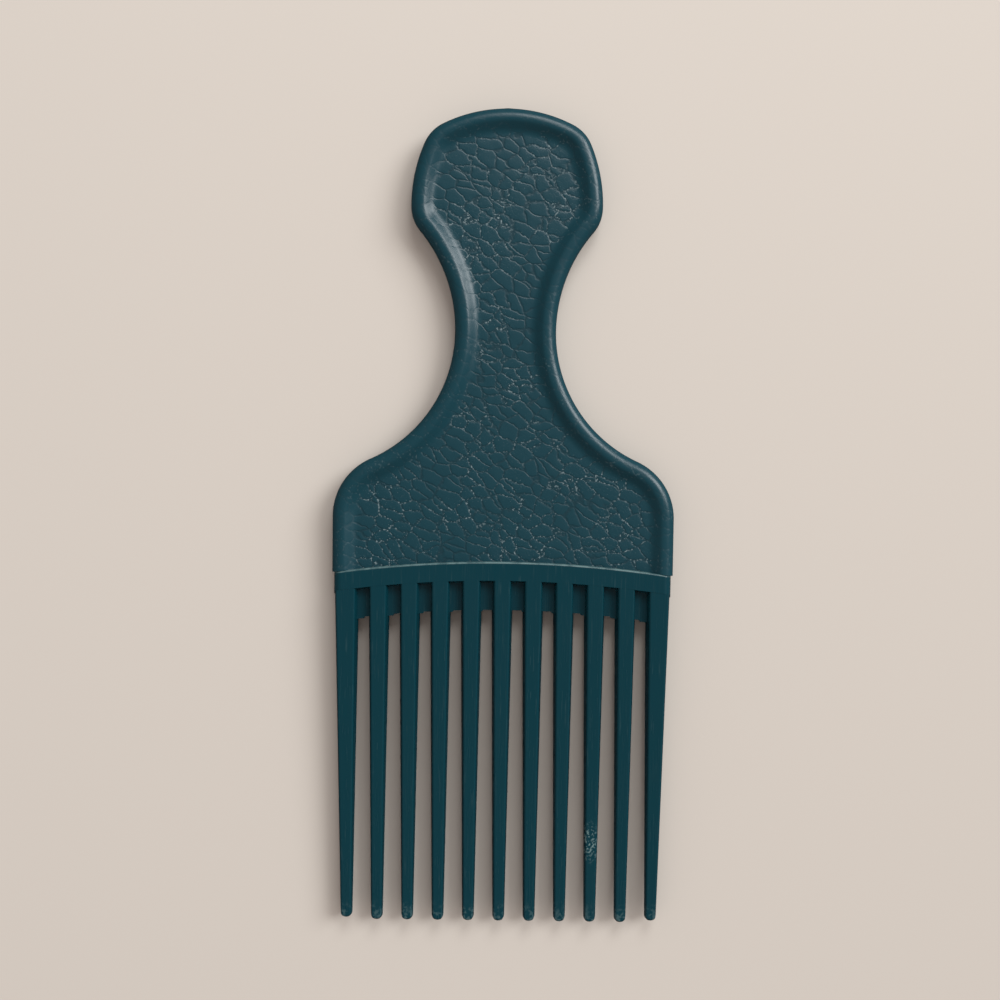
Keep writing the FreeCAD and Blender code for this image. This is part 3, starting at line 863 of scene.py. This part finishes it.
    def build(self, finish: bpy.types.Material, emboss: GrainEmboss) -> bpy.types.Object:
        """Makes the skin.

        Args:
            finish: The grained plastic.
            emboss: The tree that raises the grain.

        Returns:
            The handle's skin.
        """
        profile = self.profile()
        rings = [self.outline.ring(inset) for inset in profile[:, 0]]
        across = len(rings[0])
        added, triangles = self.floor_cells(rings[-1])
        flat = np.concatenate([*rings, added])
        spread = np.concatenate([np.repeat(profile, across, axis=0), np.tile(profile[-1], (len(added), 1))])
        insets, heights = spread.T
        count, last = len(flat), (len(rings) - 1) * across
        faces: list = []
        for ring in range(len(rings) - 1):
            for station in range(across - 1):
                here = ring * across + station
                faces.append((here, here + across, here + across + 1, here + 1))
        faces += [tuple(last + number for number in face) for face in triangles]
        front = np.stack([flat[:, 0], -heights, flat[:, 1] + self.gate(flat, heights)], axis=1)
        back = front * [1, -1, 1]
        vertices = np.concatenate([front, back])
        turned = [tuple(number + count for number in reversed(face)) for face in faces]
        cap_start = len(vertices)
        foot = [ring * across + across - 1 for ring in range(len(rings))]
        floor_foot = [count - len(added) + number for number in range(self.foot_count(rings[-1]))]
        left = [ring * across for ring in reversed(range(len(rings)))]
        edge = foot + floor_foot + left
        cap = np.concatenate([front[edge], back[edge]])
        cap_faces = [
            (cap_start + n, cap_start + n + 1, cap_start + n + 1 + len(edge), cap_start + n + len(edge))
            for n in range(len(edge) - 1)
        ]
        vertices = np.concatenate([vertices, cap]) * MM
        turn = np.array(LAID)
        laid = vertices @ turn[:3, :3].T + turn[:3, 3]
        piece = mesh_object("handle_skin", laid, faces + turned + cap_faces, finish)
        mask = self.grain_mask(flat[:, 0], flat[:, 1], insets)
        values = np.concatenate([mask, mask, np.zeros(len(cap))])
        layer = piece.data.attributes.new("grain", "FLOAT", "POINT")
        layer.data.foreach_set("value", values.astype(np.float32))
        self.face_outwards(piece)
        emboss.apply(piece, finish)
        return piece

    def gate(self, flat: np.ndarray, heights: np.ndarray) -> np.ndarray:
        """Rise of the little stub where the plastic was fed in, at the middle of the crown.

        Args:
            flat: X and Z of each place.
            heights: Distances from the middle plane.

        Returns:
            The rise at each place.
        """
        near = np.exp(-((flat[:, 0] / self.gate_half_width) ** 2)) * np.exp(-(heights**2))
        return self.gate_height * near * (flat[:, 1] > self.outline.overall_length - self.gate_reach)

    def foot_count(self, edge: np.ndarray) -> int:
        """How many points the floor's foot has between its ends."""
        return math.ceil((edge[-1, 0] - edge[0, 0]) / self.cell) - 1

    @staticmethod
    def face_outwards(piece: bpy.types.Object) -> None:
        """Joins the two halves at the middle plane and turns every face outwards.

        Args:
            piece: The handle's skin.
        """
        work = bmesh.new()
        work.from_mesh(piece.data)
        middle = HALF_THICKNESS * MM
        seam = [vertex for vertex in work.verts if abs(vertex.co.z - middle) < SEAM_REACH]
        bmesh.ops.remove_doubles(work, verts=seam, dist=WELD)
        bmesh.ops.recalc_face_normals(work, faces=work.faces)
        work.to_mesh(piece.data)
        work.free()


@dataclass
class Comb:
    """The spine, the teeth and the webs, which keep their own shapes and take the smooth finish."""

    prefixes: tuple[str, ...] = ("comb_spine", "tooth_", "slot_web_")

    def dress(self, finish: bpy.types.Material) -> int:
        """Gives every piece of the comb its finish.

        Args:
            finish: The smooth plastic.

        Returns:
            How many pieces were dressed.
        """
        dressed = 0
        for name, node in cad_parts.items():
            if name.startswith(self.prefixes):
                node.data.materials.clear()
                node.data.materials.append(finish)
                dressed += 1
        return dressed


@dataclass
class Studio:
    """Floor, world, lamps and camera. Places are on the upright drawing, in metres."""

    floor_half: float = 8.0
    floor_roughness: float = 0.9
    floor_colour: tuple[float, float, float, float] = rgba(0.53, 0.50, 0.455)
    # painted shade: the floor's colour as the pick's reflections see it
    floor_shade_in_reflections: tuple[float, float, float, float] = rgba(0.05, 0.05, 0.05)
    sky_colour: tuple[float, float, float, float] = rgba(0.604, 0.533, 0.509)
    mirror_strength: float = 0.12
    key_place: tuple[float, float, float] = (0.66, -0.55, 0.50)
    key_degrees: float = 32.0
    key_strength: float = 2.5
    top_place: tuple[float, float, float] = (0.12, -0.42, 0.55)
    top_size: float = 0.25
    top_power: float = 1.5
    aim: tuple[float, float, float] = (-0.0007, 0.0, 0.0869)
    distance: float = 0.220
    pitch_degrees: float = 2.5
    lean_degrees: float = 0.72
    view_degrees: float = 49.6
    clip_start: float = 0.01

    def build(self) -> None:
        """Makes the whole studio."""
        self.floor()
        self.world()
        key = bpy.data.lights.new("key", "SUN")
        key.angle = math.radians(self.key_degrees)
        key.energy = self.key_strength
        self.hang(key, self.key_place)
        top = bpy.data.lights.new("top", "AREA")
        top.size = self.top_size
        top.energy = self.top_power
        self.hang(top, self.top_place)
        self.camera()
        bpy.context.scene.view_settings.view_transform = "Standard"

    def floor(self) -> None:
        """A plain pale floor, painted dark where the pick reflects it."""
        material = bpy.data.materials.new("floor_cloth")
        material.use_nodes = True
        tree = Tree(material.node_tree)
        shader = material.node_tree.nodes["Principled BSDF"]
        # painted shade: glossy rays see the floor in a dark colour instead of its pale one
        mirrored = tree.node("ShaderNodeLightPath", output="Is Glossy Ray")
        tone = tree.blend(mirrored, self.floor_colour, self.floor_shade_in_reflections)
        tree.feed(shader.inputs["Base Color"], tone)
        shader.inputs["Roughness"].default_value = self.floor_roughness
        half = self.floor_half
        corners = np.array([(-half, -half, 0), (half, -half, 0), (half, half, 0), (-half, half, 0)])
        floor = mesh_object("floor", corners, [(0, 1, 2, 3)], material)

    def world(self) -> None:
        """A pale surround that shows only faintly in shiny faces."""
        world = bpy.data.worlds.new("surround")
        bpy.context.scene.world = world
        world.use_nodes = True
        tree = Tree(world.node_tree)
        ground = world.node_tree.nodes["Background"]
        ground.inputs["Color"].default_value = self.sky_colour
        mirrored = tree.node("ShaderNodeLightPath", output="Is Glossy Ray")
        tree.feed(ground.inputs["Strength"], 1 - mirrored * (1 - self.mirror_strength))

    def hang(self, light: bpy.types.Light, place: Sequence[float]) -> None:
        """Hangs a lamp so that it faces the pick.

        Args:
            light: The lamp.
            place: Where it hangs.
        """
        lamp = bpy.data.objects.new(light.name, light)
        facing = (Vector(self.aim) - Vector(place)).to_track_quat("-Z", "Y").to_matrix().to_4x4()
        lamp.matrix_world = LAID @ Matrix.Translation(place) @ facing
        bpy.context.scene.collection.objects.link(lamp)

    def camera(self) -> None:
        """The photograph's view: face-on, a little from above, leaning a little."""
        data = bpy.data.cameras.new("camera")
        data.sensor_fit = "HORIZONTAL"
        data.angle = math.radians(self.view_degrees)
        data.clip_start = self.clip_start
        camera = bpy.data.objects.new("camera", data)
        pitch = math.radians(self.pitch_degrees)
        aim = Vector(self.aim)
        place = aim + Vector((0, -math.cos(pitch), math.sin(pitch))) * self.distance
        facing = (aim - place).to_track_quat("-Z", "Y").to_matrix().to_4x4()
        lean = Matrix.Rotation(math.radians(self.lean_degrees), 4, "Z")
        camera.matrix_world = LAID @ Matrix.Translation(place) @ facing @ lean
        bpy.context.scene.collection.objects.link(camera)
        bpy.context.scene.camera = camera


def main() -> None:
    """Builds the pick's visual pieces in order and reports each."""
    logging.basicConfig(level=logging.INFO, format="%(name)s: %(message)s")
    Studio().build()
    grain = LeatherGrain()
    # painted sheen: the handle's teal is set lighter than the comb's, though one plastic makes both
    panel, pale = rgba(0.0048, 0.041, 0.057), rgba(0.34, 0.44, 0.46)
    grained = GrainedPlastic(Slot.GRAINED.value, panel, pale, roughness=0.36, grain=grain).build()
    # the comb's pale tone, used for its wear and for the painted highlight along the band line
    comb, wear_and_highlight_tone = rgba(0.0016, 0.033, 0.046), rgba(0.16, 0.26, 0.26)
    smooth = SmoothPlastic(Slot.SMOOTH.value, comb, wear_and_highlight_tone, roughness=0.26).build()
    skin = Handle().build(grained, GrainEmboss(grain))
    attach(skin, BODY)
    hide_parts("handle_plate", "handle_rim")
    log.info("handle_skin: %d faces", len(skin.data.polygons))
    log.info("comb: %d pieces dressed", Comb().dress(smooth))


if __name__ == "__main__":
    main()
